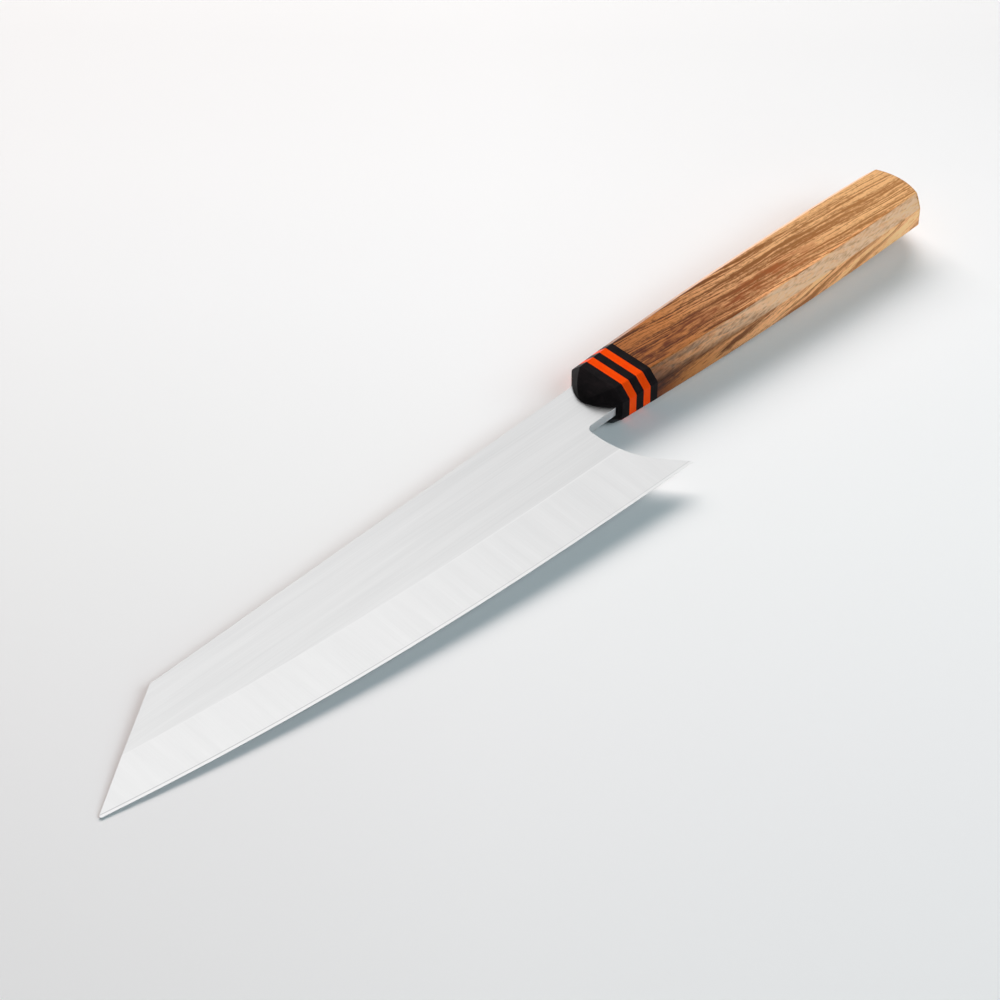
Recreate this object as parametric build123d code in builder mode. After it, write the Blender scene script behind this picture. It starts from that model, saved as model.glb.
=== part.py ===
"""Kiritsuke kitchen knife, lying on its side with the left face of the blade up.

X runs along the handle from the tip (-X) to the butt (+X), Y from the edge (-Y) to the spine (+Y),
and Z through the thickness. The origin is the bottom centre of the knife's bounding box.
"""
import os
from math import atan, cos, degrees, radians, sin, tan

from build123d import *

os.makedirs("parts", exist_ok=True)

# Driving dimensions, in millimetres and degrees.
# Heights across the blade are taken from the handle's axis. Places along it are taken from the
# stack joint, the plane where the front collar meets the first spacer.

# Blade outline
blade_length = 204.8      # heel corner to the sharp point
heel_setback = 4.0        # heel corner ahead of the stack joint
edge_drop = 39.25         # straight part of the edge below the axis
belly_rise = 13.95        # point above the straight part of the edge
belly_power = 2.5         # how late the edge curves up
spine_rise = 6.95         # spine above the axis at the stack joint
spine_slope = 1.86        # degrees that the spine falls towards the tip
clip_slope = 34.0         # degrees of the straight clip that makes the point
tip_radius = 0.5
neck_drop = 8.75          # underside of the neck below the axis at the stack joint
notch_setback = 16.8      # deepest part of the heel arc ahead of the stack joint
notch_depth = 6.0         # from the neck's underside to that deepest part
notch_radius = 2.4        # corner between the neck and the heel arc
heel_end_slope = 49.0     # degrees of the heel arc where it meets the edge

# Blade grind
neck_thickness = 3.0
tip_thickness = 1.7
spine_ease = 0.35
bevel_at_heel = 17.3      # wide bevel, from the edge up to the shoulder line
bevel_at_tip = 14.4
micro_bevel = 0.85        # narrow cutting bevel along the edge
micro_angle = 13.0        # degrees of the cutting bevel on each side
edge_thickness = 0.12
grind_reach = 0.2         # how far above the flats the ground surfaces are carried before trimming

# Tang
tang_length = 96.0
tang_width = 9.0
tang_thickness = 2.8
tang_end_width = 5.5
tang_end_thickness = 2.0

# Front collar and spacers
collar_rim = 2.8
collar_nose = 6.7
nose_power_across = 0.57  # how fast the nose narrows seen from above
nose_power_up = 0.31      # and thins seen from the side
neck_seat = 1.2           # collar wall behind the end of the neck
orange_spacer = 2.7
black_spacer = 2.85
slot_clearance = 0.08

# Handle
handle_length = 120.4     # wooden part
handle_front_width = 20.8
handle_rear_width = 22.9
handle_swell = 2.95       # extra width at mid-length over a straight taper
handle_thickness = 13.2
corner_bevel = 3.4        # of the octagon, measured along each side
corner_ease = 0.8         # rounding of the octagon's corners
butt_radius = 19.5        # arc of the butt end seen from above
butt_ease_share = 0.8     # rounding of the butt's rim, as a share of the corners' rounding
bore_width = 11.0
bore_height = 5.2
bore_overrun = 3.0        # bore beyond the end of the tang

# How far cutting shapes reach past what they cut
overrun = 5.0

# Places that follow from the dimensions
handle_front_x = 2 * orange_spacer + 2 * black_spacer
butt_x = handle_front_x + handle_length
body_shares = [0, 0.125, 0.25, 0.375, 0.5, 0.625, 0.75, 0.875, 1]
body_places = [handle_front_x + handle_length * share for share in body_shares]
heel_x = -heel_setback
tip_x = heel_x - blade_length
tip_y = belly_rise - edge_drop
neck_end_x = -neck_seat
rim_front_x = -collar_rim
nose_front_x = rim_front_x - collar_nose
tang_end_x = neck_end_x + tang_length
bore_end_x = tang_end_x + bore_overrun
spine_fall = tan(radians(spine_slope))
clip_rise = tan(radians(clip_slope))


def spine_y(x):
    return spine_rise + x * spine_fall


def neck_y(x):
    return x * spine_fall - neck_drop


def blade_share(x):
    """0 from the neck to the heel corner, then growing to 1 at the point."""
    return max(0, (heel_x - x) / blade_length)


def edge_y(x):
    return tip_y - belly_rise * (1 - blade_share(x) ** belly_power)


def shoulder_y(x):
    return edge_y(x) + bevel_at_heel + (bevel_at_tip - bevel_at_heel) * blade_share(x) ** 2


def blade_thickness(x):
    """Parallel where the collar holds the neck, then an even taper to the point."""
    share = max(0, (nose_front_x - x) / (nose_front_x - tip_x))
    return neck_thickness + (tip_thickness - neck_thickness) * share


def handle_width(x):
    """Straight taper from the spacers to the butt, with a gentle swell between."""
    share = x / butt_x
    taper = handle_front_width + (handle_rear_width - handle_front_width) * share
    return taper + handle_swell * (1 - (2 * share - 1) ** 2)


# The rounded point: its circle lies between the clip and the end of the edge
edge_end_slope = degrees(atan(belly_power * belly_rise / blade_length))
point_half_angle = radians(clip_slope + edge_end_slope) / 2
point_lean = radians(clip_slope - edge_end_slope) / 2
point_x = tip_x + tip_radius * cos(point_lean) / sin(point_half_angle) - tip_radius

# The clip meets the spine where both lines have the same height
clip_top_x = tip_x + (spine_y(tip_x) - tip_y) / (clip_rise - spine_fall)

# The frame: the knife's box is centred along X and Y and stands on Z = 0
handle_half_width = max(handle_width(x) for x in body_places) / 2
stack_joint_x = -(point_x + butt_x) / 2
axis_y = (edge_drop - handle_half_width) / 2
axis_z = handle_thickness / 2
side_view = Plane((stack_joint_x, axis_y, axis_z))
top_view = Plane((stack_joint_x, axis_y, axis_z), x_dir=(1, 0, 0), z_dir=(0, -1, 0))


def station(x):
    """Plane across the knife at x. Its own X points to the spine and its own Y up."""
    return Plane((stack_joint_x + x, axis_y, axis_z), x_dir=(0, 1, 0), z_dir=(1, 0, 0))


def octagon(width, thickness, across=1, up=1):
    """Octagon with eased corners, added to the open sketch and shrunk by the two factors."""
    side = width / 2
    top = thickness / 2
    flat_end = side - corner_bevel
    side_end = top - corner_bevel
    corners = [(side, side_end), (flat_end, top), (-flat_end, top), (-side, side_end)]
    corners += [(-y, -z) for y, z in corners]
    Polygon(*[(y * across, z * up) for y, z in corners], align=None)
    fillet(vertices(), corner_ease * min(across, up))


def ground_section(x):
    """Eased spine, wide bevels and cutting bevels, carried on past the flat faces."""
    flat = blade_thickness(x) / 2
    edge_flat = edge_thickness / 2
    micro_flat = edge_flat + micro_bevel * tan(radians(micro_angle))
    below_edge = edge_flat / tan(radians(micro_angle)) / 2
    bevel_run = (shoulder_y(x) - edge_y(x) - micro_bevel) / (flat - micro_flat)
    upper_side = [
        (spine_y(x), flat - spine_ease),
        (spine_y(x) - spine_ease - grind_reach, flat + grind_reach),
        (shoulder_y(x) + bevel_run * grind_reach, flat + grind_reach),
        (edge_y(x) + micro_bevel, micro_flat),
        (edge_y(x) - below_edge, edge_flat / 2),
    ]
    lower_side = [(across, -up) for across, up in reversed(upper_side)]
    Polygon(*upper_side, *lower_side, align=None)


# Blade: one steel piece with its neck and its hidden tang
outline_shares = [0.15, 0.3, 0.45, 0.6, 0.75, 0.9]
grind_shares = [0, 0.12, 0.25, 0.38, 0.5, 0.62, 0.74, 0.86, 1]
heel_end_angle = radians(heel_end_slope)
neck_corner = (-notch_setback, neck_y(-notch_setback))
arc_top = (-notch_setback, neck_y(-notch_setback) - notch_depth)
left_flat = [(x, blade_thickness(x) / 2) for x in (neck_end_x, nose_front_x, tip_x)]
right_flat = [(x, -z) for x, z in reversed(left_flat)]
tang_sections = [
    (neck_end_x, tang_width, tang_thickness),
    (tang_end_x, tang_end_width, tang_end_thickness),
]

with BuildPart() as blade:
    with BuildSketch(side_view):
        with BuildLine():
            spine = Line((neck_end_x, spine_y(neck_end_x)), (clip_top_x, spine_y(clip_top_x)))
            clip = Line(spine @ 1, (tip_x, tip_y))
            edge_points = [heel_x - blade_length * share for share in reversed(outline_shares)]
            Spline(clip @ 1, *[(x, edge_y(x)) for x in edge_points], (heel_x, edge_y(heel_x)))
            Spline(
                (heel_x, edge_y(heel_x)),
                arc_top,
                tangents=[(-cos(heel_end_angle), sin(heel_end_angle)), (0, 1)],
            )
            Polyline(arc_top, neck_corner, (neck_end_x, neck_y(neck_end_x)), spine @ 0)
        make_face()
        fillet(vertices().sort_by_distance((tip_x, tip_y))[0], tip_radius)
        fillet(vertices().sort_by_distance(neck_corner)[0], notch_radius)
    extrude(amount=neck_thickness, both=True)
    with BuildSketch(station(neck_end_x)):
        ground_section(neck_end_x)
    for share in grind_shares:
        with BuildSketch(station(heel_x - blade_length * share)):
            ground_section(heel_x - blade_length * share)
    loft(mode=Mode.INTERSECT)
    with BuildSketch(top_view):
        Polygon(*left_flat, *right_flat, align=None)
    extrude(amount=edge_drop + overrun, both=True, mode=Mode.INTERSECT)
    for x, width, thickness in tang_sections:
        with BuildSketch(station(x)):
            Rectangle(width, thickness)
    loft()
blade.part.label = "blade"
export_step(blade.part, "parts/blade.step")

# Front collar: black, octagonal at the rim, with a domed nose slotted for the neck
nose_shares = [0, 0.25, 0.5, 0.7, 0.84, 0.93, 0.975, 0.993]
rim_width = handle_width(rim_front_x)
slot_front_x = nose_front_x - overrun
neck_slot = [
    (neck_end_x, spine_y(neck_end_x) + slot_clearance),
    (slot_front_x, spine_y(slot_front_x) + slot_clearance),
    (slot_front_x, neck_y(slot_front_x) - slot_clearance),
    (neck_end_x, neck_y(neck_end_x) - slot_clearance),
]
tang_slot_width = tang_width + 2 * slot_clearance
tang_slot_height = tang_thickness + 2 * slot_clearance

with BuildPart() as front_collar:
    for x in (rim_front_x, 0):
        with BuildSketch(station(x)):
            octagon(handle_width(x), handle_thickness)
    loft()
    for share in nose_shares:
        across = (1 - share) ** nose_power_across
        up = (1 - share) ** nose_power_up
        with BuildSketch(station(rim_front_x - collar_nose * share)):
            octagon(rim_width, handle_thickness, across, up)
    loft()
    with BuildSketch(side_view):
        Polygon(*neck_slot, align=None)
    extrude(amount=neck_thickness / 2 + slot_clearance, both=True, mode=Mode.SUBTRACT)
    with BuildSketch(station(neck_end_x)):
        Rectangle(tang_slot_width, tang_slot_height)
    extrude(amount=neck_seat, mode=Mode.SUBTRACT)
front_collar.part.label = "front_collar"
export_step(front_collar.part, "parts/front_collar.step")

# Spacers: four thin octagonal plates threaded on the tang, orange and black in turn
spacers = [
    ("front_orange_spacer", orange_spacer),
    ("middle_black_spacer", black_spacer),
    ("rear_orange_spacer", orange_spacer),
    ("rear_black_spacer", black_spacer),
]
spacer_x = 0
for name, length in spacers:
    with BuildPart() as spacer:
        for x in (spacer_x, spacer_x + length):
            with BuildSketch(station(x)):
                octagon(handle_width(x), handle_thickness)
        loft()
        with BuildSketch(station(spacer_x)):
            Rectangle(tang_slot_width, tang_slot_height)
        extrude(amount=length, mode=Mode.SUBTRACT)
    spacer.part.label = name
    export_step(spacer.part, f"parts/{name}.step")
    spacer_x += length

# Handle body: octagonal wood that swells towards a rounded butt, bored for the tang
bore_length = bore_end_x - handle_front_x

with BuildPart() as handle_body:
    for x in body_places:
        with BuildSketch(station(x)):
            octagon(handle_width(x), handle_thickness)
    loft(ruled=True)
    with BuildSketch(side_view):
        with Locations((butt_x - butt_radius, 0)):
            Circle(butt_radius)
        with Locations((handle_front_x, 0)):
            Rectangle(2 * (handle_length - butt_radius), 2 * butt_radius)
    extrude(amount=handle_thickness, both=True, mode=Mode.INTERSECT)
    end_face = handle_body.faces().filter_by(GeomType.CYLINDER).sort_by(Axis.X)[-1]
    fillet(end_face.edges(), corner_ease * butt_ease_share)
    with BuildSketch(station(handle_front_x)):
        SlotOverall(bore_width, bore_height)
    extrude(amount=bore_length, mode=Mode.SUBTRACT)
handle_body.part.label = "handle_body"
export_step(handle_body.part, "parts/handle_body.step")

# Adhesive: the cured filling between the bore and the tang
with BuildPart() as tang_adhesive:
    with BuildSketch(station(handle_front_x)):
        SlotOverall(bore_width, bore_height)
    extrude(amount=bore_length)
    for x, width, thickness in tang_sections:
        with BuildSketch(station(x)):
            Rectangle(width, thickness)
    loft(mode=Mode.SUBTRACT)
tang_adhesive.part.label = "tang_adhesive"
export_step(tang_adhesive.part, "parts/tang_adhesive.step")
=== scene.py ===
from math import atan, cos, radians, sin

import bmesh
import bpy
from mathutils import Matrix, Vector

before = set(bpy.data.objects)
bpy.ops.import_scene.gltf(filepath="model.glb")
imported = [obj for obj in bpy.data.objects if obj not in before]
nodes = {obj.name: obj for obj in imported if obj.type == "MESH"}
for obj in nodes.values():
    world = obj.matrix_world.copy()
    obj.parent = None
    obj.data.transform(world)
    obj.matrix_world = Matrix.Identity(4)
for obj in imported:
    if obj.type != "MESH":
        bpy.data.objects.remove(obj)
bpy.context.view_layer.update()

# Blade: one piece of satin stainless steel. Its flats are brushed along the blade, the wide bevels
# are ground across it on a wheel, and a narrow cutting bevel is honed along the edge.
# All patterns on the knife are laid out in millimetres from the joint of collar and spacers.
JOINT = Vector((0.0382429, 0.0134081, 0.0066))
HEEL = -4.0
BLADE_LENGTH = 204.8
EDGE_DROP = 39.25
BELLY_RISE = 13.95
BELLY_POWER = 2.5
BEVEL_AT_HEEL = 17.3
BEVEL_LOSS = 2.9
SHOULDER_BLUR = 0.1
SHOULDER_HIGHLIGHT_SPAN = (-0.55, -0.2)
CUTTING_BEVEL = 0.85
CUTTING_BLUR = 0.08
CREASE_SHADE_BELOW = 0.25
CREASE_SHADE_ABOVE = 0.3
CREASE_SHADE_ALONG = (-190.0, -20.0, 0.7, 0.35)
DARKER_TO_HEEL = (-125.0, -30.0)
BRUSHING_SIZE = (38, 0.26, 4)
SMEAR_SIZE = (60, 3.5, 40)
GRINDING_SIZE = (0.28, 22, 30)
WHEEL_SIZE = (3.2, 45, 30)
STEEL_RELIEF = 0.00002
FLAT_STEEL = (0.955, 0.955, 0.955, 1)
BEVEL_STEEL = (0.975, 0.975, 0.975, 1)
HIGHLIGHT_STEEL = (0.97, 0.97, 0.972, 1)
DULL_AND_SHADED_STEEL = (0.52, 0.525, 0.53, 1)


def add(tree, kind, values=(), **settings):
    """A shader node with its settings, and its inputs set to values or linked to sockets."""
    made = tree.nodes.new("ShaderNode" + kind)
    for name, value in settings.items():
        setattr(made, name, value)
    for name, value in dict(values).items():
        if isinstance(value, bpy.types.NodeSocket):
            tree.links.new(value, made.inputs[name])
        else:
            made.inputs[name].default_value = value
    return made


def sums(tree, operation, first, second=0.0, third=0.0):
    """The result of one sum on two or three numbers."""
    return add(tree, "Math", {0: first, 1: second, 2: third}, operation=operation).outputs[0]


def product(tree, first, *others):
    """Several numbers multiplied: where they are masks, the place that all of them share."""
    for other in others:
        first = sums(tree, "MULTIPLY", first, other)
    return first


def weighed(tree, *parts, base=0.0):
    """A base plus several numbers, each times its own weight."""
    for number, weight in parts:
        base = sums(tree, "MULTIPLY_ADD", number, weight, base)
    return base


def between(tree, value, low, high, at_low=0.0, at_high=1.0):
    """A number that moves smoothly from at_low to at_high as value goes from low to high."""
    values = {"Value": value, "From Min": low, "From Max": high, "To Min": at_low, "To Max": at_high}
    return add(tree, "MapRange", values, interpolation_type="SMOOTHSTEP").outputs["Result"]


def either(tree, share, first, second):
    """One number that gives way to another."""
    return add(tree, "Mix", {0: share, 2: first, 3: second}).outputs[0]


def blend(tree, share, first, second, how="MIX"):
    """One colour mixed into another."""
    colours = {0: share, 6: first, 7: second}
    mix = add(tree, "Mix", colours, data_type="RGBA", blend_type=how, clamp_result=True)
    return mix.outputs[2]


def new_group(name, inputs, outputs):
    """An empty shader node group with its sockets, and its two end nodes."""
    tree = bpy.data.node_groups.new(name, "ShaderNodeTree")
    for ways, sockets in (("INPUT", inputs), ("OUTPUT", outputs)):
        for socket, kind in sockets:
            tree.interface.new_socket(name=socket, in_out=ways, socket_type="NodeSocket" + kind)
    return tree, tree.nodes.new("NodeGroupInput"), tree.nodes.new("NodeGroupOutput")


def use(tree, group, values=()):
    """That group placed in a tree, with its inputs set or linked."""
    return add(tree, "Group", values, node_tree=group).outputs


def new_material(name):
    """A material with its node tree and its Principled shader."""
    material = bpy.data.materials.new(name)
    material.use_nodes = True
    tree = material.node_tree
    return material, tree, tree.nodes["Principled BSDF"]


def relieve(tree, shader, height, strength, depth):
    """Fine relief on a surface, to a depth in metres."""
    bump = add(tree, "Bump", {"Strength": strength, "Distance": depth, "Height": height})
    tree.links.new(bump.outputs[0], shader.inputs["Normal"])


def dress(node_name, material):
    """Gives a solid of the frame its finish."""
    mesh = nodes[node_name].data
    mesh.materials.clear()
    mesh.materials.append(material)


# Places in millimetres from the joint
places, _, results = new_group("places_mm", [], [("Place", "Vector")])
where = add(places, "TexCoord").outputs["Object"]
from_joint = add(places, "VectorMath", {0: where, 1: JOINT}, operation="SUBTRACT").outputs[0]
in_mm = add(places, "VectorMath", {0: from_joint, "Scale": 1000.0}, operation="SCALE").outputs[0]
places.links.new(in_mm, results.inputs["Place"])

# Streaks: long thin noise, as brushing, grinding and wood fibres leave
streaks, ends, results = new_group(
    "streaks",
    [("Place", "Vector"), ("Size", "Vector"), ("Detail", "Float"), ("Low", "Float"), ("High", "Float")],
    [("Value", "Float")],
)
asked = ends.outputs
cells = add(streaks, "VectorMath", {0: asked["Place"], 1: asked["Size"]}, operation="DIVIDE")
noise = add(streaks, "TexNoise", {"Vector": cells.outputs[0], "Scale": 1.0, "Detail": asked["Detail"]})
spread_values = {"Value": noise.outputs[0], "From Min": asked["Low"], "From Max": asked["High"]}
spread = add(streaks, "MapRange", spread_values)
streaks.links.new(spread.outputs["Result"], results.inputs["Value"])


def streaky(tree, place, size, detail=2, low=0.3, high=0.7):
    """Streaks of one size, from 0 where the noise is low to 1 where it is high."""
    values = {"Place": place, "Size": size, "Detail": detail, "Low": low, "High": high}
    return use(tree, streaks, values)["Value"]


steel, tree, shader = new_material("satin_steel")
place = use(tree, places)["Place"]
along, across, _ = add(tree, "SeparateXYZ", {0: place}).outputs

# Heights above the curved edge, and past the shoulder of the wide bevel
share = sums(tree, "DIVIDE", sums(tree, "SUBTRACT", HEEL, along), BLADE_LENGTH)
share = sums(tree, "MAXIMUM", share, 0.0)
rise = product(tree, sums(tree, "POWER", share, BELLY_POWER), BELLY_RISE)
above_edge = sums(tree, "SUBTRACT", sums(tree, "ADD", across, EDGE_DROP), rise)
bevel_width = weighed(tree, (product(tree, share, share), -BEVEL_LOSS), base=BEVEL_AT_HEEL)
past_shoulder = sums(tree, "SUBTRACT", above_edge, bevel_width)
on_bevel = between(tree, past_shoulder, SHOULDER_BLUR, -SHOULDER_BLUR)
on_cutting = between(tree, above_edge, CUTTING_BEVEL + CUTTING_BLUR, CUTTING_BEVEL - CUTTING_BLUR)
# Painted shade: the steel is darkened towards the heel, on the flats and on the bevels.
heel_shade = between(tree, along, *DARKER_TO_HEEL)

brushing = streaky(tree, place, BRUSHING_SIZE)
smears = streaky(tree, place, SMEAR_SIZE)
grinding = streaky(tree, place, GRINDING_SIZE, detail=3)
wheel = streaky(tree, place, WHEEL_SIZE, detail=1.5, low=0.25, high=0.75)
flat_tone = weighed(tree, (smears, 0.10), (brushing, 0.09), (heel_shade, 0.09))
flat_colour = blend(tree, flat_tone, FLAT_STEEL, DULL_AND_SHADED_STEEL)
bevel_tone = weighed(tree, (wheel, 0.075), (grinding, 0.06), (heel_shade, 0.15))
bevel_colour = blend(tree, bevel_tone, BEVEL_STEEL, DULL_AND_SHADED_STEEL)
colour = blend(tree, on_bevel, flat_colour, bevel_colour)

# A painted highlight along the shoulder
shoulder_highlight = product(tree, between(tree, past_shoulder, *SHOULDER_HIGHLIGHT_SPAN), on_bevel, 0.7)
colour = blend(tree, shoulder_highlight, colour, HIGHLIGHT_STEEL)
# Painted shade: a thin dark line at the crease above the cutting bevel.
crease_shade = product(
    tree,
    between(tree, above_edge, CUTTING_BEVEL - CREASE_SHADE_BELOW, CUTTING_BEVEL),
    between(tree, above_edge, CUTTING_BEVEL + CREASE_SHADE_ABOVE, CUTTING_BEVEL),
    between(tree, along, *CREASE_SHADE_ALONG),
)
colour = blend(tree, crease_shade, colour, DULL_AND_SHADED_STEEL)
tree.links.new(colour, shader.inputs["Base Color"])

flat_rough = weighed(tree, (brushing, 0.10), base=0.30)
bevel_rough = weighed(tree, (grinding, 0.08), base=0.32)
rough = either(tree, on_cutting, either(tree, on_bevel, flat_rough, bevel_rough), 0.34)
tree.links.new(rough, shader.inputs["Roughness"])
shader.inputs["Metallic"].default_value = 1.0
relieve(tree, shader, either(tree, on_bevel, brushing, grinding), 0.12, STEEL_RELIEF)
dress("blade", steel)

# Front collar and black spacers: dense black laminate, sanded flush with the wood and left satin.
# The collar has a domed nose, slotted for the neck of the blade.
SCRATCH_SIZE = (0.12, 3, 3)
MOTTLE_SIZE = (2.5, 2.5, 2.5)
LAMINATE_RELIEF = 0.00002
BLACK = (0.0024, 0.0018, 0.0021, 1)
BLACK_DUST = (0.016, 0.011, 0.012, 1)

# Sanding: fine scratches round the handle, and a soft mottle from handling
sanding, ends, results = new_group(
    "sanding", [("Place", "Vector")], [("Scratches", "Float"), ("Mottle", "Float")]
)
scratches = streaky(sanding, ends.outputs["Place"], SCRATCH_SIZE)
mottle = streaky(sanding, ends.outputs["Place"], MOTTLE_SIZE, detail=4)
sanding.links.new(scratches, results.inputs["Scratches"])
sanding.links.new(mottle, results.inputs["Mottle"])


def laminate(name, body_colour, dust_colour, base_rough):
    """Sanded laminate: its colour is dusted by the scratches, and its sheen is uneven."""
    material, tree, shader = new_material(name)
    marks = use(tree, sanding, {"Place": use(tree, places)["Place"]})
    dust = product(tree, marks["Scratches"], marks["Mottle"])
    tree.links.new(blend(tree, dust, body_colour, dust_colour), shader.inputs["Base Color"])
    rough = weighed(tree, (marks["Mottle"], 0.12), base=base_rough)
    tree.links.new(rough, shader.inputs["Roughness"])
    shader.inputs["Specular IOR Level"].default_value = 0.06
    relieve(tree, shader, marks["Scratches"], 0.15, LAMINATE_RELIEF)
    return material


black = laminate("black_laminate", BLACK, BLACK_DUST, 0.36)
for name in ("front_collar", "middle_black_spacer", "rear_black_spacer"):
    dress(name, black)

# Orange spacers: two thin plates of dyed laminate, one on each side of the middle black spacer.
# They are sanded flush with it and a little duller.
ORANGE = (0.93, 0.058, 0.0006, 1)
ORANGE_DUST = (0.97, 0.10, 0.004, 1)
orange = laminate("orange_laminate", ORANGE, ORANGE_DUST, 0.38)
for name in ("front_orange_spacer", "rear_orange_spacer"):
    dress(name, orange)

# Handle body: walnut planed to an octagon, sanded and oiled. The wood is dark where it meets the
# spacers and pales to honey towards the butt. The growth layers run a few degrees off its length.
FIBRE = Vector((1.0, -0.07, 0.26)).normalized()
LAYER_ACROSS = Vector((-0.067, -0.963, 0.259)).normalized()
LAYER_IN = LAYER_ACROSS.cross(FIBRE)
LAYER_WIDTH = 1.45
WARP_DEPTH = 3.2
WARP_SIZE = (45, 9, 9)
BROAD_SIZE = (120, 2.9, 30)
FINE_SIZE = (38, 0.6, 4)
CALM_SIZE = (34, 3, 12)
THREAD_SIZE = (14, 0.4, 0.7)
FLECK_SIZE = (1.6, 0.45, 0.5)
PORE_SIZE = (3.2, 0.26, 0.5)
PATCH_SIZE = (7, 1.2, 3)
SHEEN_SIZE = (8, 0.5, 0.5)
PALER_TO_BUTT = (-12.0, 132.0)
HEART_MIDDLE = -3.6
HEART_WIDTH = (5.2, 2.2)
HEART_ALONG = (112.0, 60.0)
EDGE_SIDE = (-7.6, -9.2)
SIDE_LIGHT_FROM = 3.5
SIDE_LIGHT_SLANT = 3.0
SIDE_LIGHT_ALONG = (2.0, 80.0)
SIDE_SHADE_ALONG = (27.0, 9.0)
CHAMFER_FOOT = (3.0, 3.4)
CHAMFER_TOP = (6.48, 6.3)
SHEEN_ALONG = (4.0, 76.0, 0.10, 1.0)
CORNER_SHADE_ACROSS = (-8.9, -9.5)
CORNER_SHADE_FOOT = (2.2, 3.0)
CORNER_SHADE_TOP = (4.3, 3.4)
CORNER_SHADE_ALONG = (74.0, 30.0, 0.0, 0.6)
BUTT = 131.5
BUTT_RADIUS = 19.5
BUTT_RIM = (BUTT - 1.2, BUTT - 0.6)
WOOD_RELIEF = 0.00004
EDGE_SIDE_LIGHT = (1.46, 1.27, 1.26, 1)
EDGE_SIDE_SHADE = (0.38, 0.22, 0.13, 1)
HEART_RED = (1.30, 0.90, 0.70, 1)
CHAMFER_SHEEN = (1.0, 0.61, 0.38, 1)
DARK_TONES = [
    (0.0, (0.040, 0.009, 0.001, 1)),
    (0.2, (0.080, 0.018, 0.002, 1)),
    (0.5, (0.225, 0.072, 0.013, 1)),
    (1.0, (0.390, 0.162, 0.044, 1)),
]
LIGHT_TONES = [
    (0.0, (0.340, 0.100, 0.020, 1)),
    (0.2, (0.530, 0.195, 0.052, 1)),
    (0.5, (0.780, 0.405, 0.180, 1)),
    (1.0, (0.830, 0.465, 0.200, 1)),
]


def tones(tree, value, stops):
    """A ramp of colours in which each stop has its own place."""
    ramp = add(tree, "ValToRGB", {0: value})
    elements = ramp.color_ramp.elements
    while len(elements) < len(stops):
        elements.new(1.0)
    for element, (position, colour) in zip(elements, stops):
        element.position = position
        element.color = colour
    return ramp.outputs[0]


def measured(tree, place, direction):
    """How far a place lies along a direction."""
    return add(tree, "VectorMath", {0: place, 1: direction}, operation="DOT_PRODUCT").outputs["Value"]


walnut, tree, shader = new_material("oiled_walnut")
place = use(tree, places)["Place"]
along, across, up = add(tree, "SeparateXYZ", {0: place}).outputs

# Grain: places along the fibre, across the growth layers and in their plane
warp = streaky(tree, place, WARP_SIZE, low=0.0, high=1.0)
layer = weighed(tree, (warp, WARP_DEPTH), base=measured(tree, place, LAYER_ACROSS))
grain_axes = {0: measured(tree, place, FIBRE), 1: layer, 2: measured(tree, place, LAYER_IN)}
grain = add(tree, "CombineXYZ", grain_axes).outputs[0]
broad = streaky(tree, grain, BROAD_SIZE, detail=1.5, low=0.36, high=0.64)
fine = streaky(tree, grain, FINE_SIZE, detail=3)
calm = streaky(tree, grain, CALM_SIZE, detail=1, low=0.35, high=0.65)
thread = streaky(tree, grain, THREAD_SIZE)
fleck = streaky(tree, grain, FLECK_SIZE)
pores = streaky(tree, grain, PORE_SIZE, detail=1, low=0.60, high=0.70)
patch = streaky(tree, grain, PATCH_SIZE, detail=4, low=0.44, high=0.64)

# Growth lines: each layer darkens slowly and ends at once, more in some stretches than in others
ring = sums(tree, "FRACT", weighed(tree, (broad, 1.3), base=sums(tree, "DIVIDE", layer, LAYER_WIDTH)))
ring = product(tree, between(tree, ring, 0.30, 0.92), between(tree, ring, 1.0, 0.94))
ring = product(tree, ring, weighed(tree, (calm, 0.30), base=0.10))
figure = weighed(tree, (fine, 0.28), (broad, 0.34), (thread, 0.22), (fleck, 0.16))
figure = between(tree, sums(tree, "SUBTRACT", figure, ring), 0.17, 0.60)
tone = between(tree, along, *PALER_TO_BUTT)
dark = tones(tree, tone, DARK_TONES)
colour = blend(tree, figure, dark, tones(tree, tone, LIGHT_TONES))

# Red patches in the heart of the top, and open pores
from_heart = sums(tree, "ABSOLUTE", sums(tree, "SUBTRACT", across, HEART_MIDDLE))
heart = product(
    tree,
    between(tree, from_heart, *HEART_WIDTH),
    between(tree, along, *HEART_ALONG),
    weighed(tree, (patch, 0.80), base=0.12),
)
colour = blend(tree, heart, colour, blend(tree, 1.0, dark, HEART_RED, "MULTIPLY"))
colour = blend(tree, product(tree, pores, 0.6), colour, dark)

# The side towards the edge: painted light that makes it paler towards the butt, and painted shade that
# darkens it beside the spacers
edge_side = between(tree, across, *EDGE_SIDE)
slanted = weighed(tree, (sums(tree, "SUBTRACT", up, SIDE_LIGHT_FROM), SIDE_LIGHT_SLANT), base=along)
side_light = product(tree, edge_side, between(tree, slanted, *SIDE_LIGHT_ALONG))
colour = blend(tree, side_light, colour, EDGE_SIDE_LIGHT, "MULTIPLY")
side_shade = product(tree, edge_side, between(tree, along, *SIDE_SHADE_ALONG))
colour = blend(tree, side_shade, colour, EDGE_SIDE_SHADE, "MULTIPLY")

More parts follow.
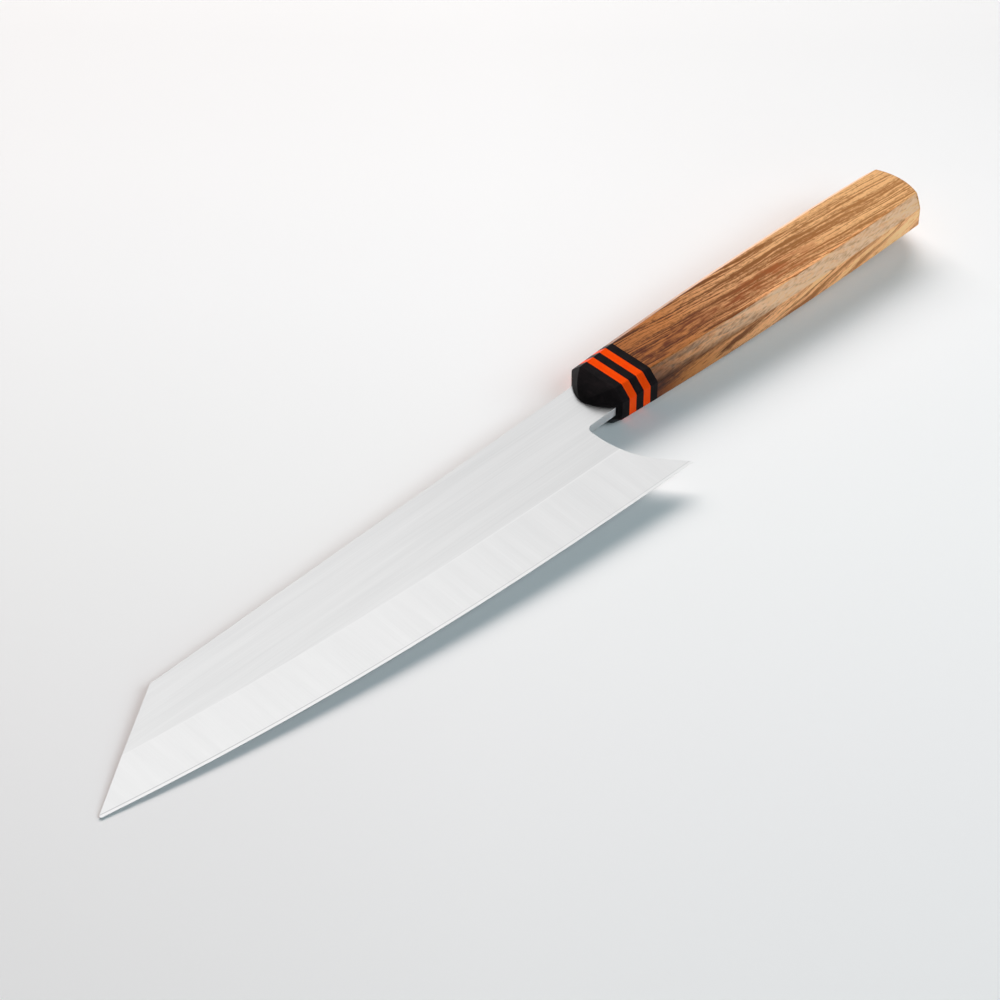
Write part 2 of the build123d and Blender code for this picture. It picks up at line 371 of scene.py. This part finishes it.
# Chamfers: a painted sheen, paler in soft streaks, as far as the rounded butt, which shows end grain
dome = weighed(tree, (product(tree, across, across), 1 / (2 * BUTT_RADIUS)), base=along)
on_butt = between(tree, dome, *BUTT_RIM)
height = sums(tree, "ABSOLUTE", up)
chamfer_sheen = streaky(tree, grain, SHEEN_SIZE, detail=3, low=0.34, high=0.62)
chamfer_sheen = product(
    tree,
    between(tree, height, *CHAMFER_FOOT),
    between(tree, height, *CHAMFER_TOP),
    sums(tree, "SUBTRACT", 1.0, on_butt),
    weighed(tree, (chamfer_sheen, 0.6), base=0.4),
    between(tree, along, *SHEEN_ALONG),
)
colour = blend(tree, chamfer_sheen, colour, CHAMFER_SHEEN)

# A line of painted shade where the chamfer meets the side, and the darker end grain
corner_shade = product(
    tree,
    between(tree, across, *CORNER_SHADE_ACROSS),
    between(tree, up, *CORNER_SHADE_FOOT),
    between(tree, up, *CORNER_SHADE_TOP),
    between(tree, along, *CORNER_SHADE_ALONG),
)
colour = blend(tree, corner_shade, colour, dark)
colour = blend(tree, product(tree, on_butt, 0.35), colour, dark)
tree.links.new(colour, shader.inputs["Base Color"])
shader.inputs["Specular IOR Level"].default_value = 0.2
rough = weighed(tree, (fine, -0.06), (pores, 0.2), base=0.34)
tree.links.new(rough, shader.inputs["Roughness"])
relieve(tree, shader, weighed(tree, (thread, 0.4), (pores, -0.8)), 0.35, WOOD_RELIEF)
dress("handle_body", walnut)

# Adhesive: cured amber resin, poured into the bore round the tang to hold the knife together.
# It can't be seen from outside.
CLOUD_SIZE = (6, 4, 4)
RESIN = (0.55, 0.42, 0.20, 1)
RESIN_CLOUD = (0.72, 0.62, 0.40, 1)
resin, tree, shader = new_material("cured_resin")
cloud = streaky(tree, use(tree, places)["Place"], CLOUD_SIZE, detail=3, low=0.35, high=0.65)
tree.links.new(blend(tree, cloud, RESIN, RESIN_CLOUD), shader.inputs["Base Color"])
tree.links.new(weighed(tree, (cloud, 0.1), base=0.2), shader.inputs["Roughness"])
dress("tang_adhesive", resin)

# Table: a plain pale matte top, with painted shade that darkens it a little towards its near and far
# ends and to the right of the knife.
# The blade outweighs the handle, so the knife leans on the lower rim of its collar and on its point,
# and the table is set to that slope.
# What the steel throws back under the blade is dimmed.
TABLE_SIDE = 6.0
TABLE_CLEARANCE = 0.00002
NEAR_THE_RIM = 0.1
ON_THE_FLOOR = 0.00001
AWAY = Vector((0.7, 0.71, 0))
AWAY_SPAN = (-0.20, 0.20)
RIGHTWARD = Vector((0.71, -0.7, 0))
RIGHT_SPAN = (-0.04, 0.25)
UNDER_BLADE = (0.3, 0.3, 0.3, 1)
RIGHT_SHADE_TONE = (0.865, 0.867, 0.867, 1)
PALE_AND_SHADED_TONES = [
    (0.0, (0.935, 0.916, 0.908, 1)),
    (0.2, (0.955, 0.938, 0.933, 1)),
    (0.4, (0.970, 0.965, 0.958, 1)),
    (0.65, (0.973, 0.973, 0.973, 1)),
    (0.8, (0.955, 0.955, 0.955, 1)),
    (1.0, (0.900, 0.903, 0.903, 1)),
]
collar = [corner.co for corner in nodes["front_collar"].data.vertices]
blade = [corner.co for corner in nodes["blade"].data.vertices]
collar_low = min(co.x for co in collar if co.z < ON_THE_FLOOR)
slope = min(co.z / (collar_low - co.x) for co in blade if co.x < collar_low - NEAR_THE_RIM)

top = bmesh.new()
bmesh.ops.create_grid(top, x_segments=2, y_segments=2, size=TABLE_SIDE / 2)
table_mesh = bpy.data.meshes.new("table")
top.to_mesh(table_mesh)
top.free()
table = bpy.data.objects.new("table", table_mesh)
table.location = (collar_low, 0, -TABLE_CLEARANCE)
table.rotation_euler = (0, atan(slope), 0)
bpy.context.scene.collection.objects.link(table)


def share_of(tree, value, low, high):
    """How far a value has come from low to high, in even steps."""
    return add(tree, "MapRange", {"Value": value, "From Min": low, "From Max": high}).outputs["Result"]


pale, tree, shader = new_material("pale_table")
tree.nodes.remove(shader)
where = add(tree, "TexCoord").outputs["Object"]
# Painted shade: darker towards the near and far ends, and to the right of the knife.
tone = tones(tree, share_of(tree, measured(tree, where, AWAY), *AWAY_SPAN), PALE_AND_SHADED_TONES)
aside = share_of(tree, measured(tree, where, RIGHTWARD), *RIGHT_SPAN)
tone = blend(tree, aside, tone, RIGHT_SHADE_TONE, "MULTIPLY")
rays = add(tree, "LightPath").outputs
by_the_table = sums(tree, "GREATER_THAN", rays["Diffuse Depth"], 0.5)
under_blade = product(tree, rays["Is Glossy Ray"], by_the_table)
matte = add(tree, "BsdfDiffuse", {"Color": blend(tree, under_blade, tone, UNDER_BLADE)})
clear = add(tree, "BsdfTransparent")
backs = add(tree, "NewGeometry").outputs["Backfacing"]
shown = add(tree, "MixShader", {0: backs, 1: matte.outputs[0], 2: clear.outputs[0]})
tree.links.new(shown.outputs[0], tree.nodes["Material Output"].inputs["Surface"])
table_mesh.materials.append(pale)

# Light: four soft boxes and a pale room. A wide box stands behind the knife and a small one to the
# right of it, one hangs over the side of the edge, and a low one stands in front.
# The steel mirrors only the room.
FILL = (0.55, 0.87, 1.0, 1)
FILL_STRENGTH = 0.05
ROOM = (0.95, 0.95, 0.945, 1)
MIRRORED_TONES = [
    (0.0, (0.45, 0.45, 0.45, 1)),
    (0.58, (0.74, 0.74, 0.74, 1)),
    (0.78, (1, 1, 1, 1)),
    (1.0, (1, 1, 1, 1)),
]


def soft_box(name, azimuth, elevation, distance, width, height, power, colour):
    """An area lamp that faces the middle of the knife and doesn't show in the steel."""
    lamp = bpy.data.lights.new(name, "AREA")
    lamp.shape = "RECTANGLE"
    lamp.size = width
    lamp.size_y = height
    lamp.energy = power
    lamp.color = colour
    turn, lift = radians(azimuth), radians(elevation)
    towards = Vector((cos(lift) * cos(turn), cos(lift) * sin(turn), sin(lift)))
    box = bpy.data.objects.new(name, lamp)
    box.location = towards * distance
    box.rotation_euler = towards.to_track_quat("Z", "Y").to_euler()
    box.visible_camera = False
    box.visible_glossy = False
    bpy.context.scene.collection.objects.link(box)


soft_box("back_soft_box", 52, 35, 1.6, 1.7, 0.65, 32.6, (1.0, 0.915, 0.885))
soft_box("right_soft_box", -50, 29, 1.5, 0.6, 0.5, 3.5, (0.82, 0.95, 1.0))
soft_box("over_soft_box", -75, 45, 1.0, 0.6, 0.52, 3.4, (0.80, 0.94, 1.0))
soft_box("front_soft_box", -105, 12, 1.6, 1.2, 0.5, 3.2, (0.60, 0.90, 1.0))

world = bpy.data.worlds.new("pale_room")
world.use_nodes = True
bpy.context.scene.world = world
tree = world.node_tree
tree.nodes.clear()
rays = add(tree, "LightPath").outputs
level = add(tree, "SeparateXYZ", {0: add(tree, "TexCoord").outputs["Generated"]}).outputs[2]
fill = add(tree, "Background", {"Color": FILL, "Strength": FILL_STRENGTH})
mirrored = add(tree, "Background", {"Color": tones(tree, level, MIRRORED_TONES), "Strength": 1.0})
seen = add(tree, "Background", {"Color": ROOM, "Strength": 1.0})
straight = sums(tree, "LESS_THAN", rays["Diffuse Depth"], 0.5)
mirror_ray = product(tree, rays["Is Glossy Ray"], straight)
lit = add(tree, "MixShader", {0: mirror_ray, 1: fill.outputs[0], 2: mirrored.outputs[0]})
lit = add(tree, "MixShader", {0: rays["Is Camera Ray"], 1: lit.outputs[0], 2: seen.outputs[0]})
out = add(tree, "OutputWorld")
tree.links.new(lit.outputs[0], out.inputs["Surface"])
bpy.context.scene.view_settings.view_transform = "Standard"

# Camera: a long lens above the edge's side and beyond the point, as in the photograph. Its angles
# were fitted to the corners of the spacers and the handle's facet lines.
lens = bpy.data.cameras.new("camera")
lens.lens = 115.2
lens.sensor_width = 36.0
lens.clip_end = 100.0
camera = bpy.data.objects.new("camera", lens)
camera.location = (-0.472167, -0.464452, 0.615140)
camera.rotation_euler = (radians(46.97616), radians(0.07326), radians(-44.49291))
bpy.context.scene.collection.objects.link(camera)
bpy.context.scene.camera = camera
